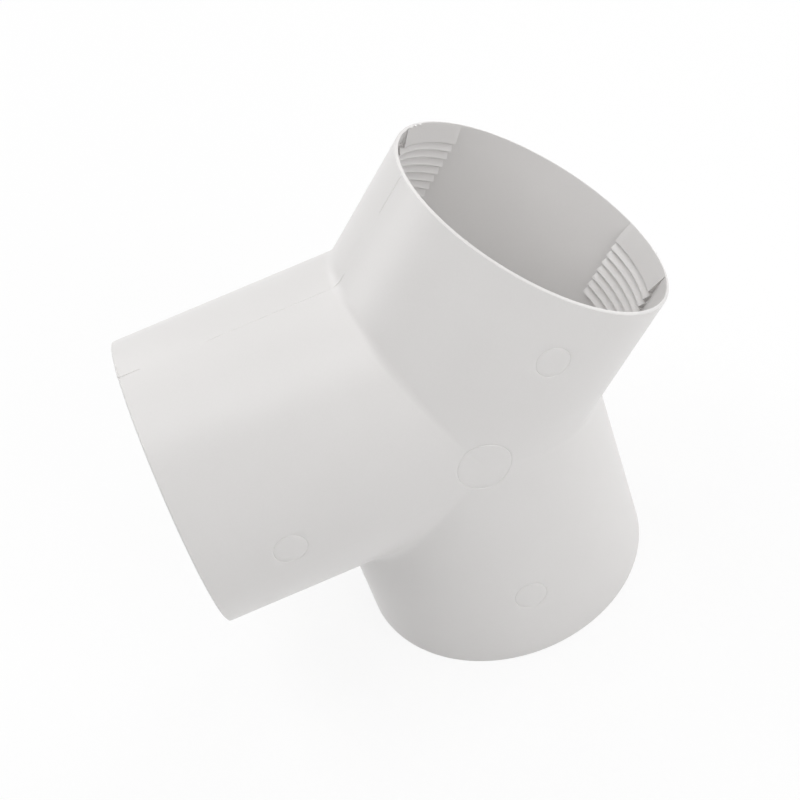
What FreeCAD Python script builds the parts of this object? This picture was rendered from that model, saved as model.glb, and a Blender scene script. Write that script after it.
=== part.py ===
"""Duct Y branch, moulded in one piece.

Three thin-walled sockets of one diameter meet at one point. Their axes lie in the XZ plane: one branch points
down and stands on its rim, the other points along -X, and the main arm points up to +X, halfway round from both.
Each socket is gripped from inside by three barbed pads, which let a round duct slide in and hold it back.

Millimetres, +Z up. The origin is the centre of the lower branch's rim.
"""
import FreeCAD
import Part
import math
import os

Vector = FreeCAD.Vector

# Socket: the duct it takes, the room left round the duct, the pads that grip it and the wall behind them
duct_diameter = 150.0
grip_clearance = 0.2
pad_height = 3.0
wall = 1.8

# Body: straight sleeves outside the corners where the arms meet
branch_angle = 90.0
main_sleeve_length = 71.0
branch_sleeve_length = 73.0
crotch_radius = 10.0
rim_land = 0.5
rim_bevel = 0.7

# Grip pads, measured along the socket from its rim
pad_count = 3
pad_angle = 35.5
pad_start = 0.5
lead_in_length = 10.9
barb_count = 7
barb_pitch = 5.0
barb_land = 0.5
barb_back = 0.8
barb_root_height = 0.5

# Marks that the mould leaves outside: the seam of its halves, and the outlines of a disc and of pins set into it
ridge_width = 0.5
ridge_height = 0.2
groove_width = 0.7
groove_depth = 0.3
disc_depth = 0.05
disc_diameter = 29.0
pin_diameter = 18.0
main_pin_from_rim = 35.0
branch_pin_from_rim = 47.0

grip_radius = duct_diameter / 2 + grip_clearance
bore_radius = grip_radius + pad_height
outer_radius = bore_radius + wall
main_angle = (360.0 - branch_angle) / 2


def crotch_distance(angle):
    """Distance from the axes' crossing, along either arm, to the corner where two arms at this angle meet."""
    return outer_radius / math.tan(math.radians(angle / 2))


lower_turn = 270.0
side_turn = lower_turn - branch_angle
main_turn = lower_turn + main_angle
branch_length = crotch_distance(branch_angle) + branch_sleeve_length
main_length = crotch_distance(main_angle) + main_sleeve_length

# Each arm: its turn in the XZ plane from +X, its length from the crossing, and its pin mark's distance from the rim
arms = (
    (lower_turn, branch_length, branch_pin_from_rim),
    (side_turn, branch_length, branch_pin_from_rim),
    (main_turn, main_length, main_pin_from_rim),
)


def direction(turn):
    """Unit vector in the XZ plane, turned from +X towards +Z."""
    angle = math.radians(turn)
    return Vector(math.cos(angle), 0, math.sin(angle))


def trunk(radius, extra=0.0):
    """The three arms as solid round bars that meet at the crossing, each made longer by extra."""
    bars = [Part.makeCylinder(radius, length + extra, Vector(), direction(turn)) for turn, length, _ in arms]
    return bars[0].multiFuse(bars[1:]).removeSplitter()


def outside():
    """The outer form: bars blended along their creases, with the rims sloped down outside a narrow flat land."""
    form = trunk(outer_radius, -rim_bevel)
    creases = [edge for edge in form.Edges if edge.Curve.TypeId == "Part::GeomEllipse"]
    form = form.makeFillet(crotch_radius, creases)
    tips = []
    for turn, length, _ in arms:
        start = direction(turn) * (length - rim_bevel)
        tips.append(Part.makeCone(outer_radius, bore_radius + rim_land, rim_bevel, start, direction(turn)))
    return form.multiFuse(tips)


def parting_ridge():
    """The seam of the two mould halves: a thin plate in the XZ plane, a little larger than the body's outline."""
    reach = outer_radius + ridge_height
    slabs = []
    for turn, length, _ in arms:
        slab = Part.makeBox(length - rim_bevel, ridge_width, 2 * reach, Vector(0, -ridge_width / 2, -reach))
        slab.rotate(Vector(), Vector(0, -1, 0), turn)
        slabs.append(slab)
    plate = slabs[0].multiFuse(slabs[1:]).removeSplitter()
    short_edges = sorted(plate.Edges, key=lambda edge: edge.Length)[:3 * len(arms)]
    corners = sorted(short_edges, key=lambda edge: edge.CenterOfMass.Length)[:len(arms)]
    return plate.makeFillet(crotch_radius - ridge_height, corners)


def pin(diameter, centre):
    """A round bar that reaches out through the front from the XZ plane."""
    return Part.makeCylinder(diameter / 2, 2 * outer_radius, centre, Vector(0, -1, 0))


def ring_groove(diameter, centre, floor):
    """A round groove on the front, as a tube that stops at the floor."""
    return pin(diameter + groove_width, centre).cut(pin(diameter - groove_width, centre)).cut(floor)


def mould_marks():
    """The sunk face and outline of the plain disc over the crossing, and the outline of one pin on each arm."""
    floor = trunk(outer_radius - groove_depth)
    marks = [pin(disc_diameter, Vector()).cut(trunk(outer_radius - disc_depth))]
    marks.append(ring_groove(disc_diameter, Vector(), floor))
    for turn, length, from_rim in arms:
        marks.append(ring_groove(pin_diameter, direction(turn) * (length - from_rim), floor))
    return marks


def pad_profile(rooted):
    """Saw-toothed outline of a pad, in distance from the rim (X) and radius (-Z), rooted in the wall at a radius.

    A plain ramp leads in to the grip radius. Each barb behind it rises from its root to a narrow land at the grip
    radius, and falls back steeply on the side away from the rim.
    """
    root = bore_radius - barb_root_height
    outline = [(pad_start, rooted), (pad_start, bore_radius), (pad_start + lead_in_length - barb_land, grip_radius)]
    crest = pad_start + lead_in_length
    for _ in range(barb_count):
        outline += [(crest, grip_radius), (crest + barb_back, root)]
        crest += barb_pitch
        outline.append((crest - barb_land, grip_radius))
    pad_end = crest + barb_back
    outline += [(crest, grip_radius), (pad_end, bore_radius), (pad_end, rooted)]
    points = [Vector(distance, 0, -radius) for distance, radius in outline]
    return Part.Face(Part.makePolygon(points + points[:1]))


def grip_pads(turn, length):
    """The pads of one socket, spaced evenly round it, with the first astride the parting plane."""
    pads = []
    for index in range(pad_count):
        profile = pad_profile(bore_radius + wall / 2)
        start = index * 360.0 / pad_count - pad_angle / 2
        profile.rotate(Vector(), Vector(1, 0, 0), start)
        pad = profile.revolve(Vector(), Vector(1, 0, 0), pad_angle)
        pad.rotate(Vector(), Vector(0, 0, 1), 180)
        pad.translate(Vector(length, 0, 0))
        pad.rotate(Vector(), Vector(0, -1, 0), turn)
        pads.append(pad)
    return pads


def y_branch():
    """The whole moulding, standing on the lower branch's rim."""
    shell = outside().fuse(parting_ridge()).cut(mould_marks()).cut(trunk(bore_radius, wall))
    pads = [pad for turn, length, _ in arms for pad in grip_pads(turn, length)]
    body = shell.multiFuse(pads).removeSplitter()
    body.translate(Vector(0, 0, branch_length))
    return body


os.makedirs("parts", exist_ok=True)
y_branch().exportStep("parts/y_branch.step")
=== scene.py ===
"""Looks of the duct Y branch: one thin-walled plastic moulding with three sockets, on a pale floor.

The moulding is worked out in millimetres from the point where the three axes cross, with its front towards -Y. Each
arm has an axis in the XZ plane, and angles round an arm are counted from the front.
"""
import math

import bmesh
import bpy
import numpy as np
from mathutils import Matrix, Vector


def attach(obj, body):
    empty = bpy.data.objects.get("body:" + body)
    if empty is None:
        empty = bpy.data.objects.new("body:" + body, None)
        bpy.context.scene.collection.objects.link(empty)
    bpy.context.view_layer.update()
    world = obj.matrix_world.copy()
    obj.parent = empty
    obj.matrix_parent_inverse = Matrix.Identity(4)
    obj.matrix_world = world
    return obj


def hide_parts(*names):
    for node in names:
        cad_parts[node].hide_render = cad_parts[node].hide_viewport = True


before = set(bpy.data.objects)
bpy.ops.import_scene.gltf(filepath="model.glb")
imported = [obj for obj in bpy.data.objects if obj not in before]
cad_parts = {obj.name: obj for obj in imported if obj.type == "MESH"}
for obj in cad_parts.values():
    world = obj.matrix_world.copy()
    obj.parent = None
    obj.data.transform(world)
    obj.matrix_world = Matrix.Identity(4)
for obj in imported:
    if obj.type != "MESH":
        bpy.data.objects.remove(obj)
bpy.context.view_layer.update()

MM = 0.001
TINY = 1e-6
FRONT = np.array([0.0, -1.0, 0.0])

# Body: skin, bore behind the grip pads, blend along the creases between arms, and the crossing's height over the floor
SKIN = 80.0
BORE = 78.2
BLEND = 10.0
CROSSING_HEIGHT = 153.0

# A rim's outline from the skin to the bore, sloped down outside a narrow land: distance from the rim, radius
RIM = np.array([(0.86, 80.0), (0.74, 79.97), (0.65, 79.88), (0.04, 78.78), (0.0, 78.68), (0.0, 78.4), (0.05, 78.26),
                (0.2, 78.2)])

# Arms counted counter-clockwise from the front: turn in degrees from +X, length, pin ring's distance from the rim
ARMS = ((45.0, 104.137, 35.0), (180.0, 153.0, 47.0), (270.0, 153.0, 47.0))
MAIN, SIDE = 0, 1

# Grip pads, in degrees round the arm: their middles, and half the width of their tops
PAD_MIDDLES = np.array([-90.0, 30.0, 150.0])
PAD_HALF = 18.2

# A pad's end, as lines at these degrees past the edge of its top: the share of the pad's height there, and the degrees
# that a line moves where the pad has its full height. The edge has a lip, and the end is hollow under it
PAD_END_LINES = np.array([-0.5, 0.0, 0.1, 0.2, 0.35])
PAD_END_SHARES = np.array([1.0, 1.0, 0.6, 0.0, 0.0])
PAD_END_SHIFTS = np.array([0.0, 0.0, -1.5, -1.6, 0.0])
PAD_LIP = 0.15

# A pad's profile by distance from the rim: a ramp up to the first crest, then barbs, each with a narrow land
PAD_HEIGHT = 3.0
PAD_START = 0.5
FIRST_CREST = 11.4
BARBS = 7
BARB_PITCH = 5.0
BARB_LAND = 0.5
LAST_FALL = 0.3

# The notch behind each crest, by distance from the crest and height over the bore
NOTCH_DISTANCES = np.array([0.15, 1.1, 1.15])
NOTCH_HEIGHTS = np.array([0.35, 0.4, 0.9])

# How much further in from the rim each arm's pads stand
PAD_OFFSETS = np.array([(1.15, 0.0, -0.8), (0.0, 0.0, 0.0), (0.0, 0.0, 0.0)])

# The seam of the mould's halves: a low ridge, with lines across it, and flash left on it by arm, side of the arm, from
# and to by distance from the rim, and height over the ridge
RIDGE_HEIGHT = 0.03
RIDGE_HALF = 0.2
RIDGE_LINES = np.array([-0.5, -0.28, -0.14, 0.0, 0.14, 0.28, 0.5])
RIDGE_FADE = 0.3
FLASH_RAMP = 0.5
FLASH_RUNS = ((MAIN, 1, 1.3, 24.0, 0.22), (MAIN, 1, 63.5, 71.5, 0.25), (SIDE, -1, 1.3, 12.3, 0.28),
              (SIDE, -1, 48.0, 112.0, 0.15))

# Ring grooves round a disc at the crossing and a pin on each arm, each in a patch of skin that is made of rings: inside
# the groove the disc's rings are shares of its patch, and the pin's are radii. The disc's edge takes so many steps from
# an arm's middle to a crease, and the arms under it meet this softly
GROOVE_DEPTH = 0.3
GROOVE_HALF = 0.45
GROOVE_LINES = GROOVE_HALF * np.linspace(1.1, -1.1, 12)
DISC_RADIUS = 14.5
DISC_PATCH = 16.0
DISC_STEPS = 14
DISC_RINGS = np.array([0.7, 0.5, 0.3, 0.12, 0.0])
DISC_SOFTNESS = 0.4
PIN_RADIUS = 9.0
PIN_PATCH = 11.0
PIN_RINGS = np.array([6.0, 3.0, 0.0])

# Burrs at the rims: arm, distance from the rim, degrees round, radius, half sizes along, round and outwards
BURRS = (
    (SIDE, 0.5, -93.5, 80.0, 0.48, 6.5, 0.7),
    (SIDE, 0.5, -90.3, 80.3, 0.48, 1.2, 0.8),
    (SIDE, 0.7, -59.0, 79.9, 0.4, 1.6, 0.4),
    (MAIN, 0.35, 95.8, 79.0, 0.3, 0.5, 0.3),
    (MAIN, 0.35, 91.6, 78.4, 0.3, 0.4, 0.3),
    (MAIN, 0.6, 91.7, 79.5, 0.3, 0.5, 0.4),
    (MAIN, 0.35, 87.1, 78.5, 0.3, 0.5, 0.3),
    (MAIN, 0.15, 134.6, 77.9, 0.3, 1.7, 0.4),
    (MAIN, 0.15, 138.3, 77.8, 0.3, 1.0, 0.6),
    (MAIN, 0.15, 142.0, 77.8, 0.3, 1.3, 0.6),
    (MAIN, 0.5, -88.9, 79.3, 0.4, 0.7, 0.6),
    (MAIN, 0.6, 50.8, 77.9, 0.5, 0.9, 0.7),
)

# Fineness of the mesh: degrees between lines round an arm, and the least from a line of detail and from the patch;
# rows of the skin and the bore, with those near the rim by distance from it; and lines on a burr and across a blend
ANGLE_STEP = 2.5
DETAIL_CLEARANCE = 0.5
PATCH_CLEARANCE = 0.3
SHOULDER_ROWS = 15
SLEEVE_ROWS = 12
WINDOW_ROWS = 19
TAIL_ROWS = 9
ROW_GAP = 1.0
NEAR_RIM = np.array([18.0, 14.0, 13.1, 12.6, 12.1, 9.0, 5.0, 1.8, 1.3, 1.0])
BURR_ROWS, BURR_COLUMNS = 9, 12
BLEND_STEPS = 8

# Cleaning up the mesh: points this near are merged, slivers this narrow go, and corners of more degrees stay sharp
WELD = 0.002
SLIVER = 0.0005
SHARP_ANGLE = 32.0

# The camera, from the photograph's lines: where it looks, in metres, and from how far round, up and away
LOOK_AT = Vector((-0.02458, -0.004547, 0.147208))
AZIMUTH = -2.2442
ELEVATION = 43.5468
ROLL = -21.3128
DISTANCE = 1.109506
LENS = 93.935

# Soft lamps, all as far off and as wide, in metres: their way right, up and back as the camera sees, and their watts
LAMP_DISTANCE = 1.8
LAMP_SIZE = 0.9
LAMPS = (
    ("front", (0.45, 0.0, 0.9), 8.2),
    ("front_top", (0.0, 0.5, 0.87), 6.7),
    ("front_left", (-0.5, 0.5, 0.7), 7.0),
    ("low_right", (0.6, -0.25, 0.75), 3.6),
    ("low_left", (-0.6, -0.6, 0.5), 1.6),
    ("left", (-1.0, 0.1, -0.1), 6.3),
    ("top_left", (-0.55, 0.78, 0.3), 2.9),
    ("top", (0.0, 1.0, 0.0), 6.1),
    ("back_left", (-0.7, 0.65, -0.2), 5.7),
    ("back_right", (0.7, 0.65, -0.1), 9.8),
)

# Colours and light: the plastic's darkest and lightest, the floor's colour, how far it turns white where it is seen and
# its width in metres, and the strength of the light from all round
DARKEST = (0.658, 0.643, 0.634, 1)
LIGHTEST = (0.721, 0.709, 0.7, 1)
WHITE = (1, 1, 1, 1)
FLOOR_COLOUR = (0.9, 0.9, 0.9, 1)
FLOOR_WHITENESS = 0.85
FLOOR_SIZE = 6.0
AMBIENT = 0.2


def arm_axes(turn):
    """Direction of an arm's axis, and of its side a quarter turn counter-clockwise seen from the front."""
    angle = math.radians(turn)
    return (np.array([math.cos(angle), 0.0, math.sin(angle)]), np.array([-math.sin(angle), 0.0, math.cos(angle)]))


def half_angle(arm):
    """Half the angle between an arm and the next one counter-clockwise."""
    turn, following = ARMS[arm][0], ARMS[(arm + 1) % len(ARMS)][0]
    return math.radians((following - turn) % 360 / 2)


def side_angles(half):
    """Angles from the front to the back on the sides of two arms that meet at this half angle.

    The first run follows the disc's patch: sin(angle) = patch radius * sin(way round the disc) / skin radius, up to
    the crease. The rest is spread evenly, with lines of its own on the parting ridge and on both sides of a pad's end.
    """
    crease = math.atan(SKIN * math.tan(half) / (SKIN + BLEND))
    patch = np.arcsin(DISC_PATCH / SKIN * np.sin(np.linspace(0, crease, DISC_STEPS + 1)))
    off = PAD_HALF + PAD_END_LINES
    ends = (PAD_MIDDLES[:, None] + np.concatenate([-off, off]) + 180) % 360 - 180
    detail = np.concatenate([np.radians(np.abs(ends)).ravel(), math.pi / 2 + RIDGE_LINES / SKIN])
    even = np.radians(np.arange(0, 180.1, ANGLE_STEP))
    clear = np.abs(even[:, None] - detail).min(axis=1) > math.radians(DETAIL_CLEARANCE)
    rest = np.sort(np.concatenate([even[clear], detail]))
    return np.concatenate([patch, rest[rest > patch[-1] + math.radians(PATCH_CLEARANCE)]])


def ridge(arm, angles, distance):
    """Height of the parting ridge: a bell over the distance from the parting plane, low, and higher along the flash.

    A run of flash rises and falls over a short ramp outside its ends. Distances along the arm are from its rim.
    """
    height = np.full(np.broadcast(angles, distance).shape, RIDGE_HEIGHT)
    for at, way, start, end, rise in FLASH_RUNS:
        if at == arm:
            inside = np.minimum(distance - start, end - distance)
            height += rise * np.clip(inside / FLASH_RAMP + 1, 0, 1) * (angles * way > 0)
    return height * np.exp(-(SKIN * (np.abs(angles) - math.pi / 2) / RIDGE_HALF) ** 4)


def groove(distance):
    """Depth of a ring groove by the distance from its middle line: a V with eased edges, 0 at its half width."""
    depth = np.clip(1 - np.abs(distance) / GROOVE_HALF, 0, 1)
    return GROOVE_DEPTH * depth * (1.5 - 0.5 * depth)


def pad_profile():
    """Distances from the rim and heights of a pad's corners: a ramp, then barbs with a notch behind each crest."""
    crests = FIRST_CREST + BARB_PITCH * np.arange(BARBS)[:, None]
    steps = np.concatenate([[0.0], NOTCH_DISTANCES, [BARB_PITCH - BARB_LAND]])
    levels = np.concatenate([[PAD_HEIGHT], NOTCH_HEIGHTS, [PAD_HEIGHT]])
    last = FIRST_CREST + BARB_PITCH * BARBS
    ramp = [PAD_START, FIRST_CREST - BARB_LAND]
    distances = np.concatenate([ramp, (crests + steps).ravel(), [last, last + LAST_FALL]])
    heights = np.concatenate([[0.0, PAD_HEIGHT], np.tile(levels, BARBS), [PAD_HEIGHT, 0.0]])
    return distances, heights


def bore(arm, angles):
    """The bore with its pads: distance from the rim, angle and radius at each of the pad's corners and each angle.

    The pads' ends have a lip along the edge and slope back under it by a share of the height. A pad's offset from its
    place along the arm grows from nothing at the ramp's start to its full size at the first crest.
    """
    distances, heights = [values[:, None] for values in pad_profile()]
    turned = (np.degrees(angles)[:, None] - PAD_MIDDLES + 180) % 360 - 180
    pad = np.abs(turned).argmin(axis=1)
    nearest = np.take_along_axis(turned, pad[:, None], axis=1)[:, 0]
    from_end = np.abs(nearest) - PAD_HALF
    share = np.interp(from_end, PAD_END_LINES, PAD_END_SHARES, left=1, right=0)
    shift = np.interp(from_end, PAD_END_LINES, PAD_END_SHIFTS, left=0, right=0) * np.sign(nearest)
    lip = np.where(np.abs(from_end) < TINY, PAD_LIP, 0)
    grown = np.clip((distances - PAD_START) / (FIRST_CREST - PAD_START), 0, 1)
    moved = angles + np.radians(shift * heights / PAD_HEIGHT)
    return distances + grown * PAD_OFFSETS[arm][pad], moved, BORE - share * heights - lip


def on_arm(axis, side, along, angles, radius):
    """Points at distances along an arm's axis, angles round it and distances from it."""
    outward = np.cos(angles)[..., None] * FRONT + np.sin(angles)[..., None] * side
    return along[..., None] * axis + radius[..., None] * outward


def arm_grid(arm):
    """An arm's wall as one grid: out along the skin, over the rim, and back along the bore to the inner mitre.

    A point is axis * along + (cos(angle) * front + sin(angle) * side) * radius. The skin starts at the crease's blend,
    (skin + blend) / tan(half) * sin(angle) along, or at the disc's patch where that is further. The bore ends at the
    sharp mitre, bore / tan(half) * sin(angle) along. Gives the points, the pin's middle, and its window in the grid.
    """
    turn, length, pin_from_rim = ARMS[arm]
    axis, side = arm_axes(turn)
    halves = (half_angle((arm - 1) % len(ARMS)), half_angle(arm))
    before, after = [side_angles(half) for half in halves]
    angles = np.concatenate([-before[:0:-1], after])
    slope = np.where(angles < 0, 1 / math.tan(halves[0]), 1 / math.tan(halves[1]))
    across = np.abs(np.sin(angles))
    front_circle = np.sqrt(np.clip(DISC_PATCH ** 2 - (SKIN * across) ** 2, 0, None)) * (np.abs(angles) < math.pi / 2)
    start = np.maximum((SKIN + BLEND) * slope * across, front_circle)
    mitre = BORE * slope * across

    shoulder_end = (SKIN + BLEND) * slope.max() + ROW_GAP
    pin = length - pin_from_rim
    window = np.linspace(pin - PIN_PATCH, pin + PIN_PATCH, WINDOW_ROWS)
    shoulder = start + (shoulder_end - start) * np.linspace(0, 1, SHOULDER_ROWS)[:, None]
    before_window = np.linspace(shoulder_end, window[0], SLEEVE_ROWS)[1:-1]
    sleeve = np.concatenate([before_window, window, length - NEAR_RIM])
    skin_along = np.concatenate([shoulder, np.repeat(sleeve[:, None], len(angles), axis=1)])
    fade = np.clip((length - NEAR_RIM[-1] - skin_along) / RIDGE_FADE, 0, 1)
    skin_radius = SKIN + ridge(arm, angles, length - skin_along) * fade

    bore_distance, bore_angles, bore_radius = bore(arm, angles)
    tail_start = length - bore_distance.max() - ROW_GAP
    tail_along = mitre + (tail_start - mitre) * np.linspace(1, 0, TAIL_ROWS)[:, None]

    columns = np.ones(len(angles))
    skin = on_arm(axis, side, skin_along, angles, skin_radius)
    rim = on_arm(axis, side, (length - RIM[:, :1]) * columns, angles, RIM[:, 1:] * columns)
    grip = on_arm(axis, side, length - bore_distance, bore_angles, bore_radius)
    tail = on_arm(axis, side, tail_along, angles, np.full_like(tail_along, BORE))
    points = np.concatenate([skin, rim, grip, tail])

    row = len(shoulder) + len(before_window)
    wide = np.flatnonzero(np.abs(angles) < PIN_PATCH / SKIN)
    return points, pin, (row, row + len(window) - 1, wide[0], wide[-1])


def crease_blend(arm):
    """The blend between an arm and the next: a ball of the blend radius rolls along the crease.

    The ball's middle runs on an ellipse, (skin + blend) * (cos(t) * front + sin(t) / sin(half) * bisector). The blend
    is the ball's arc between the two arms' skins, each touched along the ball's own line from the arm's axis.
    """
    half = half_angle(arm)
    turn, length, _ = ARMS[arm]
    axis, side = arm_axes(turn)
    next_side = arm_axes(ARMS[(arm + 1) % len(ARMS)][0])[1]
    angles = side_angles(half)[DISC_STEPS:, None]
    bisector = math.cos(half) * axis + math.sin(half) * side
    middle = (SKIN + BLEND) * (np.cos(angles) * FRONT + np.sin(angles) / math.sin(half) * bisector)
    first = np.cos(angles) * FRONT + np.sin(angles) * side
    last = np.cos(angles) * FRONT - np.sin(angles) * next_side
    swing = np.arccos(np.clip((first * last).sum(axis=1), -1, 1))[:, None, None]
    share = np.linspace(0, 1, BLEND_STEPS + 1)[:, None]
    wide = np.where(swing < TINY, 1.0, np.sin(swing))
    weight_first = np.where(swing < TINY, 1 - share, np.sin((1 - share) * swing) / wide)
    weight_last = np.where(swing < TINY, share, np.sin(share * swing) / wide)
    inward = weight_first * first[:, None, :] + weight_last * last[:, None, :]
    start = length - (SKIN + BLEND) / math.tan(half) * np.sin(angles)
    distance = start + BLEND * swing[:, :, 0] * share.T
    return middle[:, None, :] - (BLEND - ridge(arm, angles, distance))[:, :, None] * inward


def disc_patch(arm_starts, blends):
    """The front over the crossing as rings round the apex, from its edge on the three arms and blends to the middle.

    The height over the XZ plane is the highest arm's, sqrt(skin^2 - distance from its axis^2), blended where two arms
    are about as high by a smooth maximum, and lowered by the ring groove.
    """
    edge = []
    for arm, start in enumerate(arm_starts):
        edge += [start, blends[arm][0][1:-1]]
    edge = np.concatenate(edge)
    rings = np.concatenate([[1.0], (DISC_RADIUS + GROOVE_LINES) / DISC_PATCH, DISC_RINGS])
    flat = edge * np.array([1.0, 0.0, 1.0]) * rings[:, None, None]
    reach = np.linalg.norm(flat, axis=2)
    heights = []
    for turn, _, _ in ARMS:
        axis, side = arm_axes(turn)
        height = np.sqrt(SKIN ** 2 - (flat @ side) ** 2)
        heights.append(np.where(flat @ axis > -TINY, height, 0))
    heights = np.sort(np.array(heights), axis=0)
    soft = BLEND * (reach / SKIN * DISC_SOFTNESS) ** 2
    height = (heights[2] + heights[1] + np.sqrt((heights[2] - heights[1]) ** 2 + soft ** 2)) / 2
    points = flat + (height - groove(reach - DISC_RADIUS))[..., None] * FRONT
    points[0] = edge
    return points


def pin_patch(arm, points, pin, window):
    """The skin round a pin's ring, from the edge of its window in the arm's grid to its middle, in rings.

    Laid flat, each spoke runs straight from a point of the window's edge to the pin's middle. The rings keep their
    radius, and the groove lowers the skin.
    """
    top, bottom, left, right = window
    edge = np.concatenate([points[top, left:right], points[top:bottom, right], points[bottom, right:left:-1],
                           points[bottom:top:-1, left]])
    axis, side = arm_axes(ARMS[arm][0])
    along, across = edge @ axis - pin, SKIN * np.arctan2(edge @ side, edge @ FRONT)
    reach = np.hypot(along, across)
    rings = np.concatenate([PIN_RADIUS + GROOVE_LINES, PIN_RINGS])[:, None]
    radius = SKIN - groove(rings - PIN_RADIUS) * np.ones_like(reach)
    laid = on_arm(axis, side, pin + rings * along / reach, rings * across / reach / SKIN, radius)
    return np.concatenate([edge[None], laid])


def burr(arm, distance, degrees, radius, along, across, out):
    """A burr at a rim: an ellipsoid over latitude and longitude, with half sizes along, round and out of the arm."""
    turn, length, _ = ARMS[arm]
    axis, side = arm_axes(turn)
    angle = np.radians(degrees)
    outward = np.cos(angle) * FRONT + np.sin(angle) * side
    around = np.cos(angle) * side - np.sin(angle) * FRONT
    latitude = np.linspace(-math.pi / 2, math.pi / 2, BURR_ROWS)[:, None, None]
    longitude = np.arange(BURR_COLUMNS)[:, None] * 2 * math.pi / BURR_COLUMNS
    ring = along * np.cos(longitude) * axis + out * np.sin(longitude) * outward
    middle = (length - distance) * axis + radius * outward
    return middle + across * np.sin(latitude) * around + np.cos(latitude) * ring


def grid_faces(rows, columns, closed=False, hole=None):
    """Corner numbers of a grid's quads, row by row, closed round its columns or left open, less a window of cells."""
    row, column = np.mgrid[:rows - 1, :columns if closed else columns - 1]
    keep = np.ones(row.shape, bool)
    if hole is not None:
        top, bottom, left, right = hole
        keep[top:bottom, left:right] = False
    row, column = row[keep], column[keep]
    after = (column + 1) % columns
    return np.stack([row * columns + column, (row + 1) * columns + column, (row + 1) * columns + after,
                     row * columns + after], axis=1)


def moulding():
    """The whole body as one mesh: grids side by side with their shared edges merged, and burrs set into the rims."""
    grids, starts = [], []
    for arm in range(len(ARMS)):
        points, pin, window = arm_grid(arm)
        grids.append((points, grid_faces(*points.shape[:2], hole=window)))
        patch = pin_patch(arm, points, pin, window)
        grids.append((patch, grid_faces(*patch.shape[:2], closed=True)))
        reach = np.hypot(points[0][:, 0], points[0][:, 2])
        on_circle = np.flatnonzero((points[0][:, 1] < 0) & (np.abs(reach - DISC_PATCH) < WELD))
        starts.append(points[0][on_circle[0]:on_circle[-1] + 1])
    blends = [crease_blend(arm) for arm in range(len(ARMS))]
    grids += [(blend, grid_faces(*blend.shape[:2])) for blend in blends]
    disc = disc_patch(starts, blends)
    grids.append((disc, grid_faces(*disc.shape[:2], closed=True)))
    burrs = [burr(*sizes) for sizes in BURRS]
    grids += [(points, grid_faces(*points.shape[:2], closed=True)) for points in burrs]

    counts = np.cumsum([0] + [points.shape[0] * points.shape[1] for points, _ in grids])
    vertices = np.concatenate([points.reshape(-1, 3) for points, _ in grids])
    faces = np.concatenate([corners + first for (_, corners), first in zip(grids, counts)])
    vertices = (vertices + np.array([0.0, 0.0, CROSSING_HEIGHT])) * MM

    mesh = bpy.data.meshes.new("y_branch_moulding")
    mesh.from_pydata(vertices.tolist(), [], faces.tolist())
    work = bmesh.new()
    work.from_mesh(mesh)
    bmesh.ops.remove_doubles(work, verts=work.verts, dist=WELD * MM)
    bmesh.ops.dissolve_degenerate(work, edges=work.edges, dist=SLIVER * MM)
    bmesh.ops.recalc_face_normals(work, faces=work.faces)
    work.to_mesh(mesh)
    work.free()
    mesh.polygons.foreach_set("use_smooth", np.ones(len(mesh.polygons), bool))
    mesh.set_sharp_from_angle(angle=math.radians(SHARP_ANGLE))
    piece = bpy.data.objects.new("y_branch_moulding", mesh)
    bpy.context.collection.objects.link(piece)
    return piece


class Shade:
    """A socket in a node tree. Arithmetic on it adds Math nodes, and node() adds any other node."""

    def __init__(self, tree, socket=None):
        self.tree, self.socket = tree, socket

    def node(self, kind, settings=None, sockets=None, out=0):
        """Adds a node of this kind, sets its settings, then sets or links its sockets, and gives one output."""
        made = self.tree.nodes.new("ShaderNode" + kind)
        for name, value in (settings or {}).items():
            setattr(made, name, value)
        for name, value in (sockets or {}).items():
            if isinstance(value, Shade):
                self.tree.links.new(value.socket, made.inputs[name])
            else:
                made.inputs[name].default_value = value
        return Shade(self.tree, made.outputs[out] if made.outputs else None)

    def math(self, operation, first, second):
        """Adds a Math node with two inputs, each a number or a Shade."""
        return self.node("Math", {"operation": operation}, {0: first, 1: second})

    def __add__(self, other):
        return self.math("ADD", self, other)

    def __sub__(self, other):
        return self.math("SUBTRACT", self, other)

    def __rsub__(self, other):
        return self.math("SUBTRACT", other, self)

    def __mul__(self, other):
        return self.math("MULTIPLY", self, other)

    __radd__ = __add__
    __rmul__ = __mul__


def new_tree(owner):
    """An empty node tree on a material or a world, as a Shade to add nodes with."""
    owner.use_nodes = True
    owner.node_tree.nodes.clear()
    return Shade(owner.node_tree)


def moulded_plastic():
    """Satin pale grey plastic: a fine spark-eroded grain, faint flow clouds and a slightly uneven sheen."""
    material = bpy.data.materials.new("moulded_plastic")
    tree = new_tree(material)
    place = tree.node("TexCoord", out="Object")
    clouds = tree.node("TexNoise", {}, {"Vector": place, "Scale": 14.0, "Detail": 3.0, "Roughness": 0.55})
    grain = tree.node("TexNoise", {}, {"Vector": place, "Scale": 1100.0, "Detail": 2.0, "Roughness": 0.6})
    ripple = tree.node("TexNoise", {}, {"Vector": place, "Scale": 55.0, "Detail": 1.0, "Roughness": 0.4})
    shade = 0.6 * clouds + 0.4 * grain
    colour = tree.node("Mix", {"data_type": "RGBA"}, {0: shade, 6: DARKEST, 7: LIGHTEST}, 2)
    roughness = 0.30 + 0.08 * clouds + 0.04 * grain
    relief = grain + 3.0 * ripple
    normal = tree.node("Bump", {}, {"Strength": 0.35, "Distance": 0.00006, "Height": relief})
    surface = tree.node("BsdfPrincipled", {}, {"Base Color": colour, "Roughness": roughness, "Normal": normal,
                                               "IOR": 1.49})
    tree.node("OutputMaterial", {}, {"Surface": surface})
    return material


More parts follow.
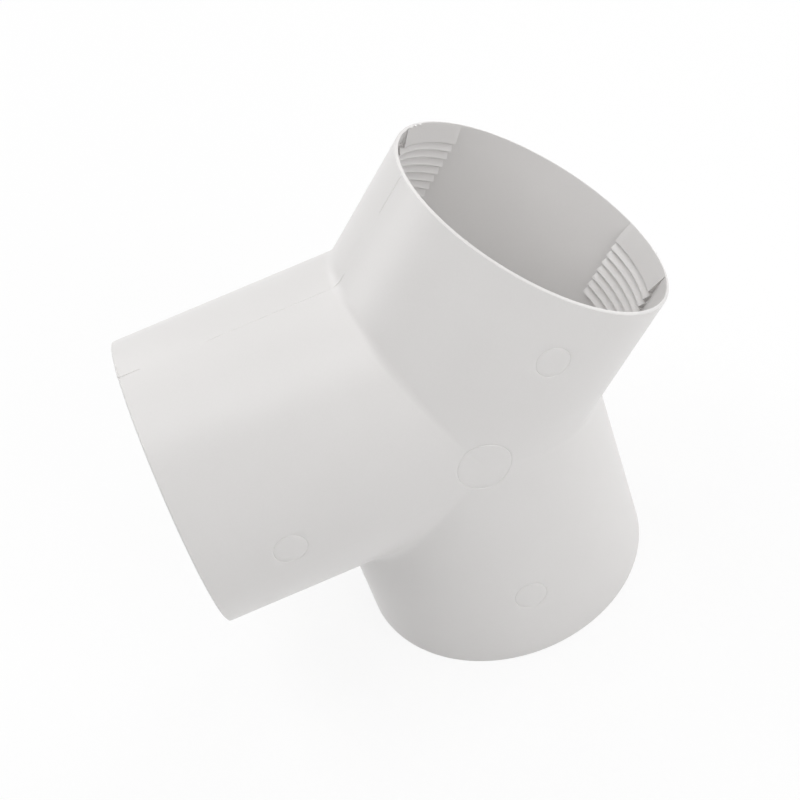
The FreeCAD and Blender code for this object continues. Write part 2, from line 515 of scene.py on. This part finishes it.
def seen_rays(tree):
    """1 for rays that show the background itself: from the camera, in gloss and through glass."""
    path = [tree.node("LightPath", out=name) for name in ("Is Camera Ray", "Is Glossy Ray", "Is Transmission Ray")]
    return tree.math("MAXIMUM", tree.math("MAXIMUM", path[0], path[1]), path[2])


def floor():
    """A wide pale floor under the lower rim, near white to the camera with the moulding's soft shadow on it."""
    mesh = bpy.data.meshes.new("floor")
    corners = np.array([[-1, -1, 0], [1, -1, 0], [1, 1, 0], [-1, 1, 0]]) * FLOOR_SIZE / 2
    mesh.from_pydata(corners.tolist(), [], [(0, 1, 2, 3)])
    piece = bpy.data.objects.new("floor", mesh)
    bpy.context.collection.objects.link(piece)
    material = bpy.data.materials.new("floor_white")
    tree = new_tree(material)
    lit = tree.node("BsdfDiffuse", {}, {"Color": FLOOR_COLOUR})
    white = tree.node("Emission", {}, {"Color": WHITE, "Strength": 1.0})
    surface = tree.node("MixShader", {}, {0: FLOOR_WHITENESS * seen_rays(tree), 1: lit, 2: white})
    tree.node("OutputMaterial", {}, {"Surface": surface})
    mesh.materials.append(material)


def surroundings():
    """White all round: full white where it is seen or mirrored, dimmer as light on the moulding."""
    world = bpy.data.worlds.new("surroundings")
    bpy.context.scene.world = world
    tree = new_tree(world)
    strength = AMBIENT + (1 - AMBIENT) * seen_rays(tree)
    background = tree.node("Background", {}, {"Color": WHITE, "Strength": strength})
    tree.node("OutputWorld", {}, {"Surface": background})


def camera_axes():
    """Right, up and back of the camera: level first, then rolled about its own line of sight."""
    azimuth, elevation, roll = math.radians(AZIMUTH), math.radians(ELEVATION), math.radians(ROLL)
    level = math.cos(elevation)
    back = Vector((math.sin(azimuth) * level, -math.cos(azimuth) * level, math.sin(elevation)))
    right = Vector((0, 0, 1)).cross(back).normalized()
    up = back.cross(right)
    return math.cos(roll) * right + math.sin(roll) * up, math.cos(roll) * up - math.sin(roll) * right, back


def camera():
    """The photograph's own view, with its middle in the middle of the frame."""
    data = bpy.data.cameras.new("camera")
    data.lens, data.sensor_width = LENS, 36.0
    data.clip_start, data.clip_end = 0.05, 50.0
    piece = bpy.data.objects.new("camera", data)
    right, up, back = camera_axes()
    turned = Matrix((right, up, back)).transposed().to_4x4()
    piece.matrix_world = Matrix.Translation(LOOK_AT + DISTANCE * back) @ turned
    bpy.context.collection.objects.link(piece)
    bpy.context.scene.camera = piece


def softbox(name, way, power):
    """A square soft lamp that faces the moulding."""
    data = bpy.data.lights.new(name, "AREA")
    data.shape, data.size, data.energy = "SQUARE", LAMP_SIZE, power
    right, up, back = camera_axes()
    towards = (way[0] * right + way[1] * up + way[2] * back).normalized()
    piece = bpy.data.objects.new(name, data)
    piece.location = LOOK_AT + LAMP_DISTANCE * towards
    piece.rotation_euler = towards.to_track_quat("Z", "Y").to_euler()
    bpy.context.collection.objects.link(piece)


branch = moulding()
branch.data.materials.append(moulded_plastic())
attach(branch, "root")
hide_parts("y_branch")

floor()
surroundings()
camera()
for lamp in LAMPS:
    softbox(*lamp)
bpy.context.scene.view_settings.view_transform = "Standard"
